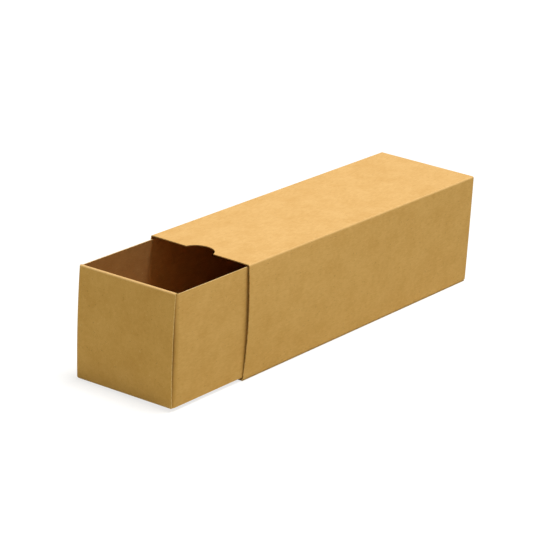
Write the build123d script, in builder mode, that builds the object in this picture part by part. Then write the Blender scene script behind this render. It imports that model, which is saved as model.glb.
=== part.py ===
"""Sliding drawer gift box of uncoated kraft card: an open-ended sleeve and the drawer that runs in it.

Both are die-cut sheets, creased and folded, so every wall is one card thick and every fold has an
inner and an outer radius.  Millimetres, Z up, the front of the drawer faces -Y.  The origin is on
the table, under the middle of the box as it stands with the drawer pulled part way out.
"""
import os
from math import asin, degrees, sin, tan

from build123d import *

# ---- driving dimensions ----------------------------------------------------------------------
card = 0.45                 # thickness of the kraft card

sleeve_width = 60.0         # outside, across the folds
sleeve_height = 59.4        # outside
sleeve_length = 199.0
sleeve_crease = 0.35        # inner radius of its folds
mouth_bow = 1.6             # how far each side panel swells between its folds, at the mouth
back_bow = 0.1              # and at the back end, where the panels are nearly flat

thumb_radius = 8.5          # round die-cut notch in the front edge of the top panel
thumb_depth = 6.5

flap_width = 15.0           # glue flap, turned in from the right wall over the sleeve's floor
flap_mitre = 6.0            # how far its ends are cut back along its free edge
flap_setback = 0.4          # the floor's cut edge stops this far inside the right wall's face
glue_film = 0.1             # thickness of the adhesive between flap and floor
glue_margin = 1.5           # bare card around the adhesive

floor_crease = 0.75         # inner radius of the folds along the drawer's floor
corner_crease = 1.45        # inner radius of the soft upright folds at its corners
front_bow = 1.0             # how far its side walls swell between floor and edge, at the front
rear_bow = 0.3              # and at the back, where the sleeve is narrower
end_bow = 0.8               # how far each end panel swells
drawer_pull = 54.0          # how far the drawer stands out of the sleeve

end_play = 1.0              # how much shorter the drawer is than the sleeve
side_play = 0.15            # running gap beside the drawer
floor_play = 0.1            # running gap under the drawer, where it rides
top_play = 0.25             # running gap over its rolled ends

roll_crease = 0.28          # inner radius of the two folds along the top of a rolled end
panel_gap = 0.25            # air between an end panel and the corner tabs behind it
layer_gap = 0.1             # air between the tabs and the panel turned down inside
wall_drop = 0.55            # the side walls' cut edges lie this far below the rolled ends
end_trim = 0.35             # an end panel's free edges stop this far inside the side walls' faces
end_clip = 0.9              # its clipped bottom corners
inner_trim = 1.7            # the turned-in panel's free edges, likewise
tab_length = 20.0           # corner tabs, folded in from the side walls behind the end panels
tab_slit = 0.3              # cut that frees a tab from the floor
tab_taper = 2.5             # how far a tab narrows, above and below, towards its free edge
lock_width = 12.0           # lock tabs on the turned-in panels, in slots in the floor
lock_pitch = 30.0
lock_play = 0.15            # gap around a lock tab in its slot

# ---- what follows from them ------------------------------------------------------------------
sleeve_bend = sleeve_crease + card                      # outer radii of the folds
flat_edge = sleeve_width / 2 - 2 * sleeve_bend          # the sleeve's panels are flat inside this
floor_bend = floor_crease + card
corner_bend = corner_crease + card
roll_bend = roll_crease + card
flap_bottom = card + glue_film
flap_top = flap_bottom + card

# the drawer rides on the sleeve's floor at the left and on the flap's cut edge at the right, so it
# stands a little out of level
tilt = asin((flap_top - card) / (sleeve_width - flap_width - card - sleeve_bend))
right_lift = flap_top + floor_play + flap_width * tan(tilt)
drawer_height = sleeve_height - card - top_play - right_lift
wall_height = drawer_height - wall_drop
lean = drawer_height * sin(tilt)
drawer_width = sleeve_width - 2 * (card + side_play) - lean
panel_width = drawer_width - 2 * end_trim

drawer_length = sleeve_length - end_play
drawer_front = (end_bow - drawer_pull - sleeve_length) / 2
drawer_back = drawer_front + drawer_length
drawer_middle = (drawer_front + drawer_back) / 2
sleeve_front = drawer_front + drawer_pull
sleeve_back = sleeve_front + sleeve_length

tab_depth = card + panel_gap                            # from an end panel's face to the tabs'
roll_thickness = tab_depth + card + layer_gap + card

os.makedirs("parts", exist_ok=True)


def folded_sheet(outer, inner):
    """Section of a folded sheet, from the paths of its two faces."""
    with BuildSketch() as section:
        with BuildLine():
            add([outer, inner])
            Line(outer @ 0, inner @ 0)
            Line(outer @ 1, inner @ 1)
        make_face()
    return section.sketch


# ---- sleeve: one sheet with four panels and a glue flap ----------------------------------------
def wall_path(inset, bow, foot):
    """Section of a side panel's outer face (inset 0) or inner face (inset card) with its two folds,
    on the right, from the top panel down to the one turned in at height foot."""
    side = sleeve_width / 2 - inset
    top = sleeve_height - inset
    bottom = foot + inset
    with BuildLine() as path:
        Line((flat_edge, top), (side, top))
        ThreePointArc((side, top), (side + bow, sleeve_height / 2), (side, bottom))
        Line((side, bottom), (flat_edge, bottom))
        folds = path.vertices().group_by(Axis.X)[-1]
        fillet(folds, sleeve_bend - inset)
    return path.line


def side_panel(foot):
    """A side panel with its two folds, on the right, straight from the mouth to the back end."""
    with BuildPart() as panel:
        for end, bow in ((sleeve_front, mouth_bow), (sleeve_back, back_bow)):
            with BuildSketch(Plane.XZ.offset(-end)):
                add(folded_sheet(wall_path(0, bow, foot), wall_path(card, bow, foot)))
        loft(ruled=True)
    return panel.part


right_panel = side_panel(flap_bottom)
left_panel = side_panel(0)
flap_edge = sleeve_width / 2 - flap_width

with BuildPart() as sleeve:
    # the flat panels: floor, top and glue flap
    with BuildSketch(Plane.XZ.offset(-sleeve_back)):
        with Locations((-flat_edge, 0)):
            Rectangle(flat_edge + sleeve_width / 2 - flap_setback, card, align=Align.MIN)
        with Locations((-flat_edge, sleeve_height - card)):
            Rectangle(2 * flat_edge, card, align=Align.MIN)
        with Locations((flap_edge, flap_bottom)):
            Rectangle(flat_edge - flap_edge, card, align=Align.MIN)
    extrude(amount=sleeve_length)
    add(right_panel)
    mirror(left_panel, about=Plane.YZ)

    # thumb notch: a round punched across the front edge of the top panel
    with BuildSketch(Plane.XY.offset(sleeve_height - 2 * card)):
        with Locations((0, sleeve_front + thumb_depth - thumb_radius)):
            Circle(thumb_radius)
    extrude(amount=4 * card, mode=Mode.SUBTRACT)

    # the flap's two ends are cut back at a slant, above the floor panel
    fold_x = sleeve_width / 2 - sleeve_bend
    with BuildSketch(Plane.XY.offset(card + glue_film / 2)):
        for end, inward in ((sleeve_front, 1), (sleeve_back, -1)):
            with BuildLine():
                Polyline((fold_x, end), (flap_edge, end + inward * flap_mitre), (flap_edge, end), close=True)
            make_face()
    extrude(amount=card + glue_film, mode=Mode.SUBTRACT)

sleeve.part.label = "sleeve"
export_step(sleeve.part, "parts/sleeve.step")


# ---- adhesive that closes the sleeve, between its flap and its floor -----------------------------
glue_left = flap_edge + glue_margin
glue_right = sleeve_width / 2 - sleeve_bend - glue_margin

with BuildPart() as glue:
    with BuildSketch(Plane.XY.offset(card)):
        with Locations(((glue_left + glue_right) / 2, (sleeve_front + sleeve_back) / 2)):
            Rectangle(glue_right - glue_left, sleeve_length - 2 * (flap_mitre + glue_margin))
    extrude(amount=glue_film)

glue.part.label = "sleeve_seam_glue"
export_step(glue.part, "parts/sleeve_seam_glue.step")


# ---- drawer: one sheet with two side walls, corner tabs and two rolled ends -----------------------
# It is drawn level, with its underside at height 0, and then set in the sleeve.
def trough(inset):
    """Block inside the outer (inset 0) or inner (inset card) faces of the floor, the side walls and
    the corner tabs at both ends, with its folds rounded."""
    right = drawer_width / 2 - inset
    with BuildPart() as block:
        for end, bow in ((drawer_front + tab_depth + inset, front_bow),
                         (drawer_back - tab_depth - inset, rear_bow)):
            swell = right + bow
            with BuildSketch(Plane.XZ.offset(-end)):
                with BuildLine():
                    Line((-right, inset), (right, inset))
                    ThreePointArc((right, inset), (swell, wall_height / 2), (right, wall_height))
                    Line((right, wall_height), (-right, wall_height))
                    ThreePointArc((-right, wall_height), (-swell, wall_height / 2), (-right, inset))
                make_face()
        loft(ruled=True)
        end_faces = faces().group_by(Axis.Y)[0] + faces().group_by(Axis.Y)[-1]
        corner_folds = end_faces.edges().filter_by(lambda e: card < e.center().Z < wall_height - card)
        fillet(corner_folds, corner_bend - inset)
        floor_folds = faces().sort_by(Axis.Z)[0].edges()
        fillet(floor_folds, floor_bend - inset)
    return block.part


def end_path(inset):
    """Section along the drawer of the sheet that leaves the floor, rises as the end panel, rolls
    over the corner tabs and turns down inside: its outer face (inset 0) or inner face (card)."""
    front = drawer_front + inset
    behind = drawer_front + roll_thickness - inset
    root = drawer_front + tab_depth + 2 * corner_bend
    top = drawer_height - inset
    with BuildLine() as path:
        Line((root, inset), (front, inset))
        ThreePointArc((front, inset), (front - end_bow, drawer_height / 2), (front, top))
        Line((front, top), (behind, top))
        Line((behind, top), (behind, card + layer_gap))
        bottom_fold = path.vertices().group_by(Axis.X)[0].sort_by(Axis.Y)[0]
        top_folds = path.vertices().group_by(Axis.Y)[-1]
        fillet(bottom_fold, floor_bend - inset)
        fillet(top_folds, roll_bend - inset)
    return path.line


trough_outside = trough(0)
trough_inside = trough(card)
end_sheet = folded_sheet(end_path(0), end_path(card))
half_length = drawer_length / 2 + end_bow

with BuildPart() as rolled_end:
    with BuildSketch(Plane.YZ.offset(-panel_width / 2)):
        add(end_sheet)
    extrude(amount=panel_width)

    # its bottom corners are clipped, clear of the folds between floor and side walls
    with BuildSketch(Plane.XZ.offset(-drawer_middle)):
        with Locations((0, drawer_height / 2)):
            Rectangle(panel_width, drawer_height)
        chamfer(vertices().group_by(Axis.Y)[0], end_clip)
    extrude(amount=half_length, mode=Mode.INTERSECT)

    # inside, it is narrower, clear of the corner folds
    inner_width = drawer_width - 2 * inner_trim
    with BuildSketch(Plane.XZ.offset(-(drawer_front + roll_thickness))):
        with Locations((0, (drawer_height - roll_bend + card) / 2)):
            Rectangle(panel_width, drawer_height - roll_bend - card)
            Rectangle(inner_width, drawer_height, mode=Mode.SUBTRACT)
    extrude(amount=roll_thickness - tab_depth, mode=Mode.SUBTRACT)

with BuildPart() as level_drawer:
    add(trough_outside)
    add(trough_inside, mode=Mode.SUBTRACT)

    # what the corner tabs leave open between them, with the slits that free them from the floor
    fold_x = drawer_width / 2 - corner_bend
    edge_x = drawer_width / 2 - tab_length
    tab_bottom = card + tab_slit
    with BuildSketch(Plane.XZ.offset(-drawer_middle)):
        with BuildLine():
            Polyline(
                (0, card), (fold_x, card), (fold_x, tab_bottom),
                (edge_x, tab_bottom + tab_taper), (edge_x, wall_height - tab_taper),
                (fold_x, wall_height), (0, wall_height),
            )
            mirror(about=Plane.YZ)
        make_face()
    extrude(amount=half_length, both=True, mode=Mode.SUBTRACT)

    add(rolled_end.part)
    mirror(rolled_end.part, about=Plane.XZ.offset(-drawer_middle))

    # lock tabs of the turned-in panels, through slots in the floor
    for lock_y in (drawer_front + roll_thickness - card / 2, drawer_back - roll_thickness + card / 2):
        with BuildSketch():
            with Locations((-lock_pitch / 2, lock_y), (lock_pitch / 2, lock_y)):
                Rectangle(lock_width + 2 * lock_play, card + 2 * lock_play)
        extrude(amount=card, mode=Mode.SUBTRACT)
        with BuildSketch():
            with Locations((-lock_pitch / 2, lock_y), (lock_pitch / 2, lock_y)):
                Rectangle(lock_width, card)
        extrude(amount=card + layer_gap)

seat_height = flap_top + floor_play - (sleeve_width / 2 - flap_width) * tan(tilt)
seat = Location((lean / 2, 0, seat_height), (0, -degrees(tilt), 0))

with BuildPart() as drawer:
    with Locations(seat):
        add(level_drawer.part)

drawer.part.label = "drawer"
export_step(drawer.part, "parts/drawer.step")
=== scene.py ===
import math

import bpy
import numpy as np
from mathutils import Matrix, Vector


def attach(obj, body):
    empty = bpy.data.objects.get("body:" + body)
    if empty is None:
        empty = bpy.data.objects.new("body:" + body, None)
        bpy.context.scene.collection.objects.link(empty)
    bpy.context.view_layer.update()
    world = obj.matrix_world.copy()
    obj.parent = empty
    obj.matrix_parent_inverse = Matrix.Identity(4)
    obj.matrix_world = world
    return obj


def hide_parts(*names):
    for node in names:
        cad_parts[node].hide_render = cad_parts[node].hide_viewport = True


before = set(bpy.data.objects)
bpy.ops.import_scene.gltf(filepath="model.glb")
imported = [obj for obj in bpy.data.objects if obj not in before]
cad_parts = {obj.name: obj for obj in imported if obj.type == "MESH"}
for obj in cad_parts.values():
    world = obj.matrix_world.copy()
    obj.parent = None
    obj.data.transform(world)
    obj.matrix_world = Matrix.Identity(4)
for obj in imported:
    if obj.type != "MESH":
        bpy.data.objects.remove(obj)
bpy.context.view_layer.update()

MM = 0.001

# ---- sizes of the two die-cut sheets, in millimetres, as the CAD model has them ------------------
CARD = 0.45                     # thickness of the kraft card

SLEEVE_SIDE = 30.0              # half its width, across the folds
SLEEVE_HEIGHT = 59.4
SLEEVE_MOUTH = -72.1
SLEEVE_BACK = 126.9
SLEEVE_FOLD = 0.8               # outer radius of its folds
MOUTH_BOW = 1.6                 # how far its side panels swell, at the mouth
BACK_BOW = 0.1                  # and at the back end
THUMB_RADIUS = 8.5
THUMB_DEPTH = 6.5
FLAP_WIDTH = 15.0               # glue flap, turned in from the right wall over the sleeve's floor
FLAP_LEVEL = 0.55               # height of its underside, on the floor's card and the glue
FLAP_MITRE = 6.0                # how far its ends are cut back along its free edge
FLAP_SETBACK = 0.4              # the floor's cut edge stops this far inside the right wall's face

SIDE_PLAY = 0.15                # running gaps beside, under and over the drawer
FLOOR_PLAY = 0.1
TOP_PLAY = 0.25

DRAWER_FRONT = -126.1
DRAWER_BACK = 71.9
FRONT_BOW = 1.0                 # how far its side walls swell, at the front
REAR_BOW = 0.3                  # and at the back
END_BOW = 0.8                   # how far its end panels swell
FLOOR_FOLD = 1.2                # outer radii of its folds along the floor,
CORNER_FOLD = 1.9               # up the corners
ROLL_FOLD = 0.73                # and along the rolled ends
ROLL_THICKNESS = 1.7            # from an end panel's face to that of the panel turned down inside
WALL_DROP = 0.55                # the side walls' cut edges lie this far below the rolled ends
PANEL_TRIM = 0.35               # an end panel's free edges stop this far inside the walls' faces
INNER_TRIM = 1.7                # the turned-in panel's free edges, likewise
INNER_STEP = 0.15               # height over which it narrows to that
INNER_PLAY = 0.1                # gap between its foot and the floor
TAB_DEPTH = 0.7                 # from an end panel's face to the corner tabs behind it
TAB_LENGTH = 20.0
TAB_FOOT = 0.75                 # height at which the tabs are cut free from the floor
TAB_TAPER = 2.5                 # how far a tab narrows, above and below, towards its free edge
LOCK_EDGES = (9.0, 21.0)        # edges of a lock tab, from the middle of the box
LOCK_PLAY = 0.15                # gap around a lock tab in its slot

FLAP_EDGE = SLEEVE_SIDE - FLAP_WIDTH
FLAP_TOP = FLAP_LEVEL + CARD
FLOOR_EDGE = SLEEVE_SIDE - FLAP_SETBACK

# the drawer rides on the sleeve's floor at the left and on the flap's cut edge at the right, where
# it is lifted by FLAP_LEVEL, so it stands a little out of level
TILT = math.asin(FLAP_LEVEL / (SLEEVE_SIDE + FLAP_EDGE - CARD - SLEEVE_FOLD))
SEAT = FLAP_TOP + FLOOR_PLAY - FLAP_EDGE * math.tan(TILT)
RIGHT_LIFT = FLAP_TOP + FLOOR_PLAY + FLAP_WIDTH * math.tan(TILT)
DRAWER_HEIGHT = SLEEVE_HEIGHT - CARD - TOP_PLAY - RIGHT_LIFT
WALL_HEIGHT = DRAWER_HEIGHT - WALL_DROP
LEAN = DRAWER_HEIGHT * math.sin(TILT)
DRAWER_SIDE = SLEEVE_SIDE - (CARD + SIDE_PLAY) - LEAN / 2
PANEL_SIDE = DRAWER_SIDE - PANEL_TRIM
INNER_SIDE = DRAWER_SIDE - INNER_TRIM

# ---- how finely the sheets are drawn -------------------------------------------------------------
EDGE_MARGIN = 1.2               # stretches have two more stations this close to a fold or cut edge
SLEEVE_MARGIN = 0.01            # the same as a share of the sleeve's length
TAB_MARGIN = 0.05               # and of a tab's
FOLD_STATIONS = 7
WALL_STATIONS = 26
NOTCH_STATIONS = 41
SLEEVE_FLOOR_STATIONS = 18
SLEEVE_TOP_STATIONS = 8         # on each side of the notch
FLAP_STATIONS = 6
SLEEVE_STATIONS = 100           # along its length
DRAWER_STATIONS = 60            # along its length
CORNER_STATIONS = 9
TAB_STATIONS = 12
ACROSS_STATIONS = 22            # from the middle of the drawer to one side
ACROSS_MARGINS = (0.965, 0.985)
ROLL_STATIONS = 8
END_STATIONS = 30
INNER_STATIONS = 24

WELD = 2e-3                     # points of two patches that fall in one cell this wide are one point
TOUCH = 1e-6                    # two heights or angles closer than this are the same
SHARP_ANGLE = math.radians(50)
FACE_SLOT, EDGE_SLOT, REVERSE_SLOT = 0, 1, 2
FLOOR_FOLD_WEAR = 0.5           # how clearly a fold of the drawer shows, where the sleeve's are 1
CORNER_FOLD_WEAR = 0.25
REVERSE_WEAR = 0.6              # how clearly a fold shows on the reverse, as a share of the face's


# ---- colour and material helpers -----------------------------------------------------------------
def linear(hex_colour):
    """Linear RGBA of an sRGB hex colour."""
    srgb = np.array([int(hex_colour[i:i + 2], 16) / 255 for i in (1, 3, 5)])
    rgb = np.where(srgb <= 0.04045, srgb / 12.92, ((srgb + 0.055) / 1.055) ** 2.4)
    return (*rgb, 1.0)


def add_node(tree, kind, settings=None, **inputs):
    """Adds one shader node: settings are its properties, inputs its sockets' values or links, by the
    socket's name, or by its number after an i."""
    node = tree.nodes.new(kind)
    for name, value in (settings or {}).items():
        setattr(node, name, value)
    for name, value in inputs.items():
        numbered = name[0] == "i" and name[1:].isdigit()
        socket = node.inputs[int(name[1:]) if numbered else name]
        if isinstance(value, bpy.types.NodeSocket):
            tree.links.new(value, socket)
        else:
            socket.default_value = value
    return node


def new_material(name):
    material = bpy.data.materials.new(name)
    material.use_nodes = True
    material.node_tree.nodes.clear()
    return material


def pattern(tree, place, size, detail=2.0, roughness=0.5):
    """Noise whose spots are about size across, in millimetres along X, Y and Z."""
    scale = tuple(1 / (MM * side) for side in size)
    scaled = add_node(tree, "ShaderNodeMapping", None, Vector=place, Scale=scale)
    noise = add_node(tree, "ShaderNodeTexNoise", None, Vector=scaled.outputs[0], Scale=1.0,
                     Detail=detail, Roughness=roughness)
    return noise.outputs["Fac"]


def laid_over(tree, base, colour, where, low, high, most=1.0):
    """Colour laid over a base colour, by a share that rises from 0 to most as where rises from low
    to high."""
    share = add_node(tree, "ShaderNodeMapRange", {"interpolation_type": "SMOOTHSTEP"},
                     i0=where, i1=low, i2=high, i3=0.0, i4=most)
    both = add_node(tree, "ShaderNodeMix", {"data_type": "RGBA"}, i0=share.outputs[0], i6=base, i7=colour)
    return both.outputs[2]


def finished(tree, colour, height, depth, strength, **surface):
    """Last steps of a material: a relief of a depth in millimetres, the surface and the output."""
    bump = add_node(tree, "ShaderNodeBump", None, Strength=strength, Distance=depth * MM, Height=height)
    surface.update({"Base Color": colour, "Normal": bump.outputs[0]})
    shader = add_node(tree, "ShaderNodeBsdfPrincipled", None, **surface)
    add_node(tree, "ShaderNodeOutputMaterial", None, Surface=shader.outputs[0])


def uncoated_kraft_card(name, dark, light, creased):
    """Uncoated 350 g/m2 kraft card, made from long unbleached fibres on a wire and left matt.

    To the eye it is a warm brown with cloudy formation some millimetres across, long fibres along the
    machine direction, which is the box's length, a few dark and pale specks of bark and shive, and a
    paler line where a crease has stretched the fibres."""
    material = new_material(name)
    tree = material.node_tree
    place = add_node(tree, "ShaderNodeTexCoord").outputs["Object"]
    clouds = pattern(tree, place, (9, 12, 9), 3.0)
    mottle = pattern(tree, place, (1.9, 2.6, 1.9))
    # real fibres are 0.03 mm wide and 3 mm long: drawn ten times as wide, so that they show
    fibres = pattern(tree, place, (0.32, 3.2, 0.32), 3.0, 0.6)
    specks = pattern(tree, place, (0.85, 1.3, 0.85), 1.0)
    pale_specks = pattern(tree, place, (1.3, 0.8, 1.1), 1.0)
    crease = add_node(tree, "ShaderNodeAttribute", {"attribute_name": "crease"}).outputs["Fac"]
    tone = 0.0
    for layer, share in ((clouds, 0.55), (mottle, 0.35), (fibres, 0.75)):
        tone = add_node(tree, "ShaderNodeMath", {"operation": "MULTIPLY_ADD"},
                        i0=layer, i1=share, i2=tone).outputs[0]
    colour = laid_over(tree, linear(dark), linear(light), tone, 0.55, 1.1)
    colour = laid_over(tree, colour, linear("#8A6232"), specks, 0.68, 0.78, 0.35)
    colour = laid_over(tree, colour, linear("#E9CD97"), pale_specks, 0.69, 0.79, 0.3)
    colour = laid_over(tree, colour, linear(creased), crease, 0.2, 1.0, 0.5)
    relief = add_node(tree, "ShaderNodeMath", {"operation": "MULTIPLY_ADD"}, i0=mottle, i1=0.6, i2=fibres)
    finished(tree, colour, relief.outputs[0], 0.03, 0.25,
             **{"Roughness": 0.82, "Specular IOR Level": 0.3, "IOR": 1.5})
    return material


def die_cut_edge(name, dark, light):
    """Cut edge of the same card, sheared by a steel rule: paler than the faces, because the fibres
    are broken open, with a fine grain where its layers lie."""
    material = new_material(name)
    tree = material.node_tree
    place = add_node(tree, "ShaderNodeTexCoord").outputs["Object"]
    # the layers are 0.1 mm thick: drawn three times as coarse, so that they show
    layers = pattern(tree, place, (0.3, 0.3, 0.3))
    frays = pattern(tree, place, (1.6, 1.6, 1.6))
    tone = add_node(tree, "ShaderNodeMath", {"operation": "MULTIPLY_ADD"},
                    i0=layers, i1=0.7, i2=frays).outputs[0]
    colour = laid_over(tree, linear(dark), linear(light), tone, 0.6, 1.1)
    finished(tree, colour, tone, 0.05, 0.5, **{"Roughness": 0.92, "Specular IOR Level": 0.2, "IOR": 1.5})
    return material


def dried_dispersion_glue(name):
    """Film of white dispersion glue, rolled on and dried clear: a smooth, faintly milky, satin skin
    with ripples along the roller's path."""
    material = new_material(name)
    tree = material.node_tree
    place = add_node(tree, "ShaderNodeTexCoord").outputs["Object"]
    ripples = pattern(tree, place, (1.2, 6.0, 1.2))
    colour = laid_over(tree, linear("#D8CBAA"), linear("#E6DCC2"), ripples, 0.35, 0.65)
    finished(tree, colour, ripples, 0.03, 0.3, Roughness=0.35, IOR=1.48)
    return material


# ---- sections of folded card ---------------------------------------------------------------------
# A run is a stretch of a section: its points, their outward normals, and 1 where the card is creased.
def stations(start, end, count, margin=EDGE_MARGIN):
    """Evenly spaced stations from start to end, with two more close to each end, where a fold or a
    cut edge needs them."""
    length = abs(end - start)
    near = min(margin, length / 4) / length
    close = [near / 3, near, 1 - near, 1 - near / 3]
    steps = np.unique(np.concatenate([np.linspace(0, 1, count), close]))
    return start + (end - start) * steps


def between(near, far, share):
    """Values that go evenly from near to far as share goes from 0 to 1."""
    return near * (1 - share) + far * share


def flat_run(points, normal):
    """Straight run: its points, one normal for all of them, and no crease."""
    points = np.asarray(points, float)
    return points, np.tile(np.asarray(normal, float), (len(points), 1)), np.zeros(len(points))


def round_run(centre, radius, angles, crease):
    """Arc: centre + radius * (cos a, sin a), where (cos a, sin a) is the outward normal."""
    ray = np.stack([np.cos(angles), np.sin(angles)], 1)
    return np.array(centre) + radius * ray, ray, np.full(len(angles), crease)


def join_runs(first, *later):
    """Runs end to end, where each starts on the last point of the one before it."""
    later = [tuple(part[1:] for part in run) for run in later]
    return tuple(np.concatenate(parts) for parts in zip(first, *later))


def mirrored_run(run):
    """The same run mirrored left to right, and walked the other way."""
    points, normals, creased = run
    flip = np.array([-1.0, 1.0])
    return points[::-1] * flip, normals[::-1] * flip, creased[::-1]


def bowed_wall(side, low, high, bow, low_fold, high_fold,
               fold_stations=FOLD_STATIONS, wall_stations=WALL_STATIONS):
    """Outer face of a bowed wall and its folds, as a run from the top down.

    The wall is an arc from (side, high) to (side, low) that swells by bow.  A circle of radius
    high_fold touches it and the flat panel above, and one of radius low_fold it and the panel below,
    and where a fold's radius is 0 the wall ends in a cut edge.  The angles run from 90 to -90 degrees."""
    half = (high - low) / 2
    radius = (half ** 2 + bow ** 2) / (2 * bow)
    centre_x, centre_z = side + bow - radius, (high + low) / 2
    reach_high = math.sqrt((radius - high_fold) ** 2 - (half - high_fold) ** 2)
    reach_low = math.sqrt((radius - low_fold) ** 2 - (half - low_fold) ** 2)
    angle_high = math.atan2(half - high_fold, reach_high)
    angle_low = -math.atan2(half - low_fold, reach_low)
    high_turn = np.linspace(math.pi / 2, angle_high, fold_stations)
    wall_turn = stations(angle_high, angle_low, wall_stations, EDGE_MARGIN / radius)
    low_turn = np.linspace(angle_low, -math.pi / 2, fold_stations)
    arcs = [((centre_x + reach_high, high - high_fold), high_fold, high_turn, 1.0),
            ((centre_x, centre_z), radius, wall_turn, 0.0),
            ((centre_x + reach_low, low + low_fold), low_fold, low_turn, 1.0)]
    return join_runs(*(round_run(*arc) for arc in arcs if arc[1] > 0))


# ---- sheets of folded card -----------------------------------------------------------------------
# A patch is a stretch of a sheet's outer face on a grid: its points, their outward normals, how
# clearly the card is creased at them, and which faces are kept.
def everywhere(rows, columns):
    """Every face of a patch kept."""
    return np.ones((rows - 1, columns - 1), bool)


def mirror_patch(patch, axis, centre=0.0):
    """A patch mirrored across the plane at centre on an axis, its faces turned to point outwards."""
    points, normals, worn, kept = patch
    points, normals = points.copy(), normals.copy()
    points[..., axis] = 2 * centre - points[..., axis]
    normals[..., axis] *= -1
    worn = np.broadcast_to(worn, points.shape[:2])
    return points[:, ::-1], normals[:, ::-1], worn[:, ::-1], kept[:, ::-1]


def card_sheet(name, patches, placed):
    """One folded sheet of card, from the patches of its outer face.

    The inner face lies one card thickness inside, against the normals.  Points that patches share
    are welded, and every edge that then has a face on one side only is a cut edge of the sheet: it
    gets a rim from the outer to the inner face.  placed moves all points to where the sheet lies."""
    outer, inner, crease, quads = [], [], [], []
    count = 0
    for points, normals, worn, kept in patches:
        rows, columns = points.shape[:2]
        index = count + np.arange(rows * columns).reshape(rows, columns)
        faces = np.stack([index[:-1, :-1], index[1:, :-1], index[1:, 1:], index[:-1, 1:]], -1)
        quads.append(faces[kept])
        outer.append(points.reshape(-1, 3))
        inner.append((points - CARD * normals).reshape(-1, 3))
        crease.append(np.broadcast_to(worn, (rows, columns)).reshape(-1))
        count += rows * columns
    outer, inner, crease, quads = map(np.concatenate, (outer, inner, crease, quads))

    cells = np.round(outer / WELD).astype(np.int64)
    _, first, weld = np.unique(cells, axis=0, return_index=True, return_inverse=True)
    quads = weld.reshape(-1)[quads]
    # points that only left-out faces used are dropped
    used, renumbered = np.unique(quads, return_inverse=True)
    quads = renumbered.reshape(quads.shape)
    outer, inner, crease = outer[first][used], inner[first][used], crease[first][used]

    edges = np.stack([quads, np.roll(quads, -1, 1)], -1).reshape(-1, 2)
    edges = edges[edges[:, 0] != edges[:, 1]]
    codes = edges.min(1) * len(outer) + edges.max(1)
    known, uses = np.unique(codes, return_counts=True)
    cut = edges[np.isin(codes, known[uses == 1])]
    shift = len(outer)
    rims = np.stack([cut[:, 1], cut[:, 0], cut[:, 0] + shift, cut[:, 1] + shift], 1)
    faces = np.concatenate([quads, quads[:, ::-1] + shift, rims])
    vertices = placed(np.concatenate([outer, inner])) * MM

    mesh = bpy.data.meshes.new(name)
    mesh.from_pydata(vertices.tolist(), [], faces.tolist())
    slots = np.repeat([FACE_SLOT, REVERSE_SLOT, EDGE_SLOT], [len(quads), len(quads), len(rims)])
    mesh.polygons.foreach_set("material_index", slots.astype(np.int32))
    wear = mesh.attributes.new("crease", "FLOAT", "POINT")
    wear.data.foreach_set("value", np.concatenate([crease, crease * REVERSE_WEAR]).astype(np.float32))
    mesh.validate()
    mesh.shade_smooth()
    mesh.set_sharp_from_angle(angle=SHARP_ANGLE)
    piece = bpy.data.objects.new(name, mesh)
    bpy.context.collection.objects.link(piece)
    return piece


# ---- sleeve --------------------------------------------------------------------------------------
def sleeve_section(bow, notch):
    """Outer face of the sleeve in section, from the floor's cut edge to the glue flap's free edge,
    with the notch's stations in the top panel."""
    left = mirrored_run(bowed_wall(SLEEVE_SIDE, 0.0, SLEEVE_HEIGHT, bow, SLEEVE_FOLD, SLEEVE_FOLD))
    right = bowed_wall(SLEEVE_SIDE, FLAP_LEVEL, SLEEVE_HEIGHT, bow, SLEEVE_FOLD, SLEEVE_FOLD)
    floor_x = stations(FLOOR_EDGE, left[0][0, 0], SLEEVE_FLOOR_STATIONS)
    top_x = np.concatenate([stations(left[0][-1, 0], notch[0], SLEEVE_TOP_STATIONS)[:-1], notch,
                            stations(notch[-1], right[0][0, 0], SLEEVE_TOP_STATIONS)[1:]])
    flap_x = stations(right[0][-1, 0], FLAP_EDGE, FLAP_STATIONS)
    return join_runs(flat_run(np.stack([floor_x, 0 * floor_x], 1), (0, -1)), left,
                     flat_run(np.stack([top_x, 0 * top_x + SLEEVE_HEIGHT], 1), (0, 1)), right,
                     flat_run(np.stack([flap_x, 0 * flap_x + FLAP_LEVEL], 1), (0, -1)))


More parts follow.
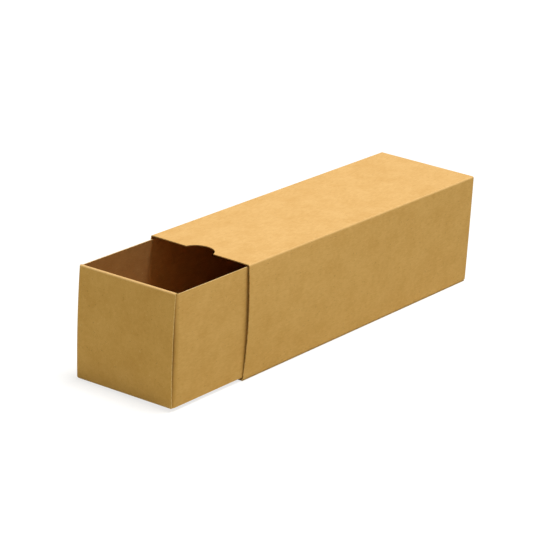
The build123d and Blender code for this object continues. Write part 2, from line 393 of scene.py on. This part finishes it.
def sleeve_patch():
    """The sleeve's section carried from mouth to back end: it changes evenly from the mouth's to the
    back end's.  It starts later at the thumb notch, an arc of a circle, and at the glue flap, which
    also ends earlier, because its ends are mitred."""
    notch_centre = THUMB_RADIUS - THUMB_DEPTH
    start = math.asin(notch_centre / THUMB_RADIUS)
    notch = -THUMB_RADIUS * np.cos(np.linspace(start, math.pi - start, NOTCH_STATIONS))
    mouth = sleeve_section(MOUTH_BOW, notch)
    back = sleeve_section(BACK_BOW, notch)
    x, z = mouth[0].T
    at_notch = (z > SLEEVE_HEIGHT - TOUCH) & (np.abs(x) < THUMB_RADIUS)
    arc = np.sqrt(np.clip(THUMB_RADIUS ** 2 - x ** 2, 0, None)) - notch_centre
    cut_back = np.where(at_notch, np.clip(arc, 0, None), 0)
    flap_start = SLEEVE_SIDE - SLEEVE_FOLD
    on_flap = (np.abs(z - FLAP_LEVEL) < TOUCH) & (x < flap_start)
    mitre = np.where(on_flap, FLAP_MITRE * (flap_start - x) / (flap_start - FLAP_EDGE), 0)
    first = SLEEVE_MOUTH + cut_back + mitre
    last = SLEEVE_BACK - mitre
    along = stations(0.0, 1.0, SLEEVE_STATIONS, SLEEVE_MARGIN)
    y = first[:, None] + (last - first)[:, None] * along
    share = ((y - SLEEVE_MOUTH) / (SLEEVE_BACK - SLEEVE_MOUTH))[..., None]
    section = between(mouth[0][:, None], back[0][:, None], share)
    facing = between(mouth[1][:, None], back[1][:, None], share)
    points = np.stack([section[..., 0], y, section[..., 1]], -1)
    normals = np.stack([facing[..., 0], 0 * y, facing[..., 1]], -1)
    return points, normals, mouth[2][:, None], everywhere(*y.shape)


# ---- drawer, drawn level with its underside at height 0 ------------------------------------------
def wall_patch():
    """Right side wall of the drawer with the fold along the floor and both corner tabs.

    Rows run down the wall's section.  Columns run from the front tab's free edge round an upright
    fold, along the wall, and round the other fold to the back tab's free edge.  With the fold's angle
    t from 90 to -90 degrees and 0 along the wall, a row that lies e inside the wall's face is at
    axis + (CORNER_FOLD - e) * (cos t, -sin t).  The tabs narrow towards their free edges, and have
    no faces below their foot, where they are cut free from the floor.

    Also gives the stations along the box of the floor that joins the wall, and its half width there."""
    front = bowed_wall(DRAWER_SIDE, 0.0, WALL_HEIGHT, FRONT_BOW, FLOOR_FOLD, 0.0)
    rear = bowed_wall(DRAWER_SIDE, 0.0, WALL_HEIGHT, REAR_BOW, FLOOR_FOLD, 0.0)
    rows = len(front[0])
    fold_row = rows - FOLD_STATIONS + 1
    row = np.arange(rows)[:, None]

    turn = np.radians(np.linspace(90, 0, CORNER_STATIONS))
    reach = stations(1.0, 0.0, TAB_STATIONS, TAB_MARGIN)
    along = stations(DRAWER_FRONT + TAB_DEPTH + CORNER_FOLD, DRAWER_BACK - TAB_DEPTH - CORNER_FOLD,
                     DRAWER_STATIONS)
    square = np.full(len(reach) - 1, math.pi / 2)
    before = len(reach) + len(turn) - 2
    angle = np.concatenate([square, turn, np.zeros(len(along) - 1), -turn[::-1][1:], -square])
    line_y = np.concatenate([np.full(before, along[0]), along, np.full(before, along[-1])])
    # how far out on a tab a column lies: 1 at the tab's free edge, 0 at its fold and along the wall
    tab = np.concatenate([reach[:-1], np.zeros(2 * (len(turn) - 1) + len(along)), reach[::-1][1:]])

    share = ((line_y - DRAWER_FRONT) / (DRAWER_BACK - DRAWER_FRONT))[:, None]
    section = between(front[0][:, None], rear[0][:, None], share)
    facing = between(front[1][:, None], rear[1][:, None], share)
    u, z = section[..., 0], section[..., 1]
    bow = np.where(row < fold_row, u - DRAWER_SIDE, (u - DRAWER_SIDE)[fold_row])
    inside = DRAWER_SIDE + bow - u
    arm = CORNER_FOLD - inside
    x = DRAWER_SIDE + bow - CORNER_FOLD + arm * np.cos(angle)
    y = line_y - arm * np.sin(angle)

    x = between(x, DRAWER_SIDE - TAB_LENGTH, tab)
    top = WALL_HEIGHT - TAB_TAPER * tab
    foot = TAB_FOOT + TAB_TAPER * tab
    z = np.where(z >= TAB_FOOT, foot + (z - TAB_FOOT) * (top - foot) / (WALL_HEIGHT - TAB_FOOT), z)
    points = np.stack([x, y, z], -1)
    normals = np.stack([facing[..., 0] * np.cos(angle), -facing[..., 0] * np.sin(angle), facing[..., 1]], -1)
    squared = np.abs(angle) > math.pi / 2 - TOUCH
    outwards = np.stack([0 * x, -np.sign(angle) + 0 * x, 0 * x], -1)
    normals = np.where((squared & (z > FLOOR_FOLD))[..., None], outwards, normals)

    at_corner = (np.abs(angle) > TOUCH) & ~squared
    worn = np.maximum(front[2][:, None] * FLOOR_FOLD_WEAR, CORNER_FOLD_WEAR * at_corner)
    on_tab = tab[:-1] + tab[1:] > 0
    below_foot = section[:-1, :-1, 1] + section[1:, :-1, 1] < 2 * TAB_FOOT
    kept = ~(below_foot & on_tab)
    return (points, normals, worn, kept), along, points[-1, before:before + len(along), 0]


def lock_edges(half, play=0.0):
    """Edges of a lock tab, or of its slot with the play around it, as shares of a half width."""
    return [(LOCK_EDGES[0] - play) / half, (LOCK_EDGES[1] + play) / half]


def across(half):
    """Stations across the floor or an end, as shares of its half width, with lines at the edges of
    the lock tabs and of their slots."""
    right = np.concatenate([np.linspace(0, 1, ACROSS_STATIONS), ACROSS_MARGINS,
                            lock_edges(INNER_SIDE), lock_edges(half, LOCK_PLAY)])
    return np.unique(np.round(np.concatenate([-right, right]), decimals=9))


def floor_patch(along, half):
    """The drawer's floor between its folds, a level grid."""
    columns = across(half[0])
    y, x = along[:, None] + 0 * columns, half[:, None] * columns
    normals = np.tile(np.array([0.0, 0.0, -1.0]), (*x.shape, 1))
    return np.stack([x, y, 0 * x], -1), normals, np.zeros_like(x), everywhere(*x.shape)


def end_patch(root, half_floor):
    """The front end, rolled, carried along its section: floor from root, bottom fold, bowed panel,
    top fold, roll, second fold, turned-in panel and lock tabs.  Every row spans its own half width,
    so that the bottom corners are clipped at 45 degrees and the turned-in panel is narrower."""
    wall = mirrored_run(bowed_wall(-DRAWER_FRONT, 0.0, DRAWER_HEIGHT, END_BOW, FLOOR_FOLD, ROLL_FOLD,
                                   ROLL_STATIONS, END_STATIONS))
    behind = DRAWER_FRONT + ROLL_THICKNESS
    lead = np.array([root, behind + LOCK_PLAY, wall[0][0, 0]])
    floor = flat_run(np.stack([lead, 0 * lead], 1), (0, -1))
    roll = round_run((behind - ROLL_FOLD, DRAWER_HEIGHT - ROLL_FOLD), ROLL_FOLD,
                     np.radians(np.linspace(90, 0, ROLL_STATIONS)), 1.0)
    top = flat_run([wall[0][-1], roll[0][0]], (0, 1))
    down = stations(roll[0][-1, 1], CARD + INNER_PLAY, INNER_STATIONS)
    down = np.concatenate([down[:1], [down[0] - INNER_STEP], down[1:], [0.0]])
    inner = flat_run(np.stack([behind + 0 * down, down], 1), (1, 0))
    section, facing, worn = join_runs(floor, wall, top, roll, inner)
    y, z = section.T

    half = np.minimum(PANEL_SIDE, half_floor + z)
    half[:len(lead)] = half_floor
    half[1 - len(down):] = INNER_SIDE
    columns = -across(half_floor)
    x = half[:, None] * columns
    points = np.stack([x, y[:, None] + 0 * x, z[:, None] + 0 * x], -1)
    normals = np.stack([0 * x, facing[:, :1] + 0 * x, facing[:, 1:] + 0 * x], -1)

    # the last row of faces is the lock tabs, and the second one, in the floor, is open at their slots
    middle = np.abs(columns[:-1] + columns[1:]) / 2
    tab_start, tab_end = lock_edges(INNER_SIDE)
    slot_start, slot_end = lock_edges(half_floor, LOCK_PLAY)
    kept = everywhere(*x.shape)
    kept[-1] = (middle > tab_start) & (middle < tab_end)
    kept[1] = (middle <= slot_start) | (middle >= slot_end)
    return points, normals, worn[:, None] + 0 * x, kept


def seated(points):
    """Sets level drawer points in the sleeve: turned by TILT about the long axis, then lifted."""
    x, y, z = points.T
    return np.stack([LEAN / 2 + x * math.cos(TILT) - z * math.sin(TILT), y,
                     SEAT + x * math.sin(TILT) + z * math.cos(TILT)], 1)


def drawer_patches():
    """Both side walls with their corner tabs, the floor and both rolled ends."""
    wall, along, half = wall_patch()
    front_end = end_patch(along[0], half[0])
    back_end = end_patch(along[0], half[-1])
    middle = (DRAWER_FRONT + DRAWER_BACK) / 2
    return [wall, mirror_patch(wall, 0), floor_patch(along, half),
            front_end, mirror_patch(back_end, 1, middle)]


folded_sleeve = card_sheet("folded_sleeve", [sleeve_patch()], lambda points: points)
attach(folded_sleeve, "sleeve")
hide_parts("sleeve")

folded_drawer = card_sheet("folded_drawer", drawer_patches(), seated)
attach(folded_drawer, "drawer")
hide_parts("drawer")

sleeve_card = uncoated_kraft_card("uncoated_kraft_card_sleeve", "#CFA25F", "#DDB373", "#E2BA7E")
drawer_card = uncoated_kraft_card("uncoated_kraft_card_drawer", "#CDA05D", "#DBB171", "#E6C28C")
# the reverse, which lines the inside of both sheets, has a darker, browner tone than the face. Part of that
# is the darker reverse of unbleached kraft, and part is painted shade that darkens the box's inside
reverse_card_with_painted_shade = uncoated_kraft_card("uncoated_kraft_card_reverse_painted_shade", "#BC8A4E", "#CC9A5E", "#D2A268")
cut_edge = die_cut_edge("die_cut_kraft_card_edge", "#CDA96C", "#EBD09C")
# in the order of FACE_SLOT, EDGE_SLOT and REVERSE_SLOT
for piece, face_card in ((folded_sleeve, sleeve_card), (folded_drawer, drawer_card)):
    for material in (face_card, cut_edge, reverse_card_with_painted_shade):
        piece.data.materials.append(material)
for node, material in (("sleeve", sleeve_card), ("drawer", drawer_card),
                       ("sleeve_seam_glue", dried_dispersion_glue("dried_dispersion_glue"))):
    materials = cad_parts[node].data.materials
    materials.clear()
    materials.append(material)


# ---- floor and air of the studio -----------------------------------------------------------------
def seen_itself(tree):
    """1 for rays from the camera, from a gloss or through something clear, and 0 for those that
    carry light to the box."""
    path = add_node(tree, "ShaderNodeLightPath")
    seen = path.outputs["Is Camera Ray"]
    for other in ("Is Glossy Ray", "Is Transmission Ray"):
        seen = add_node(tree, "ShaderNodeMath", {"operation": "ADD", "use_clamp": True},
                        i0=seen, i1=path.outputs[other]).outputs[0]
    return seen


def studio_floor(half_side):
    """Sweep of white paper.  It throws a plain warm light back at the box, and is seen as white, from
    a grey that takes the box's shadow and an even glow."""
    # a twentieth of a millimetre under the box, so that its underside is not in the floor's plane
    level = -0.05 * MM
    corners = [(-half_side, -half_side, level), (half_side, -half_side, level),
               (half_side, half_side, level), (-half_side, half_side, level)]
    mesh = bpy.data.meshes.new("studio_floor")
    mesh.from_pydata(corners, [], [(0, 1, 2, 3)])
    floor = bpy.data.objects.new("studio_floor", mesh)
    bpy.context.collection.objects.link(floor)
    material = new_material("white_paper_sweep")
    tree = material.node_tree
    seen = seen_itself(tree)
    plain = add_node(tree, "ShaderNodeBsdfDiffuse", None, Color=linear("#D8D6B2"))
    shaded = add_node(tree, "ShaderNodeBsdfDiffuse", None, Color=linear("#909090"))
    glow = add_node(tree, "ShaderNodeEmission", None, Color=linear("#FFFFFF"), Strength=0.76)
    both = add_node(tree, "ShaderNodeAddShader", None, i0=shaded.outputs[0], i1=glow.outputs[0])
    mix = add_node(tree, "ShaderNodeMixShader", None, Fac=seen, i1=plain.outputs[0], i2=both.outputs[0])
    add_node(tree, "ShaderNodeOutputMaterial", None, Surface=mix.outputs[0])
    mesh.materials.append(material)


def studio_air(scene):
    """Weak warm fill from all round, which is seen as plain white."""
    world = bpy.data.worlds.new("studio_air")
    scene.world = world
    world.use_nodes = True
    tree = world.node_tree
    tree.nodes.clear()
    seen = seen_itself(tree)
    fill = add_node(tree, "ShaderNodeBackground", None, Color=linear("#FFF2C8"), Strength=0.24)
    white = add_node(tree, "ShaderNodeBackground", None, Color=linear("#FFFFFF"), Strength=1.0)
    mix = add_node(tree, "ShaderNodeMixShader", None, Fac=seen, i1=fill.outputs[0], i2=white.outputs[0])
    add_node(tree, "ShaderNodeOutputWorld", None, Surface=mix.outputs[0])


# ---- lamp and camera -----------------------------------------------------------------------------
def broad_sun(name, towards, width, strength, colour):
    """Distant lamp that lies in the direction towards, width degrees across."""
    data = bpy.data.lights.new(name, "SUN")
    data.angle = math.radians(width)
    data.energy = strength
    data.color = linear(colour)[:3]
    lamp = bpy.data.objects.new(name, data)
    bpy.context.collection.objects.link(lamp)
    lamp.location = Vector(towards)
    lamp.rotation_mode = "QUATERNION"
    lamp.rotation_quaternion = (-Vector(towards)).to_track_quat("-Z", "Y")


def photo_camera(position, elevation, azimuth, roll, focal_pixels, image_width):
    """Camera of the fitted view: the elevation and azimuth in degrees that it looks down and in from,
    its roll, and its focal length in pixels of the image."""
    el, az, turn = (math.radians(angle) for angle in (elevation, azimuth, roll))
    forward = Vector((-math.sin(az) * math.cos(el), math.cos(az) * math.cos(el), -math.sin(el)))
    right = Vector((math.cos(az), math.sin(az), 0))
    up = right.cross(forward)
    rolled_right = right * math.cos(turn) + up * math.sin(turn)
    rolled_up = up * math.cos(turn) - right * math.sin(turn)
    data = bpy.data.cameras.new("photo_camera")
    data.sensor_width = 36.0
    data.lens = focal_pixels / image_width * data.sensor_width
    data.clip_start = 0.05
    data.clip_end = 50.0
    camera = bpy.data.objects.new("photo_camera", data)
    bpy.context.collection.objects.link(camera)
    axes = Matrix((rolled_right, rolled_up, -forward)).transposed().to_4x4()
    camera.matrix_world = Matrix.Translation(position) @ axes
    return camera


scene = bpy.context.scene
studio_floor(half_side=6.0)
studio_air(scene)
broad_sun("ceiling_softbox", towards=(0.12, 0.12, 0.98), width=21.0, strength=3.3, colour="#FFFFFF")
scene.camera = photo_camera(Vector((677.65, -965.10, 453.40)) * MM, elevation=19.848, azimuth=35.315,
                            roll=3.541, focal_pixels=2478.8, image_width=550)
scene.view_settings.view_transform = "Standard"
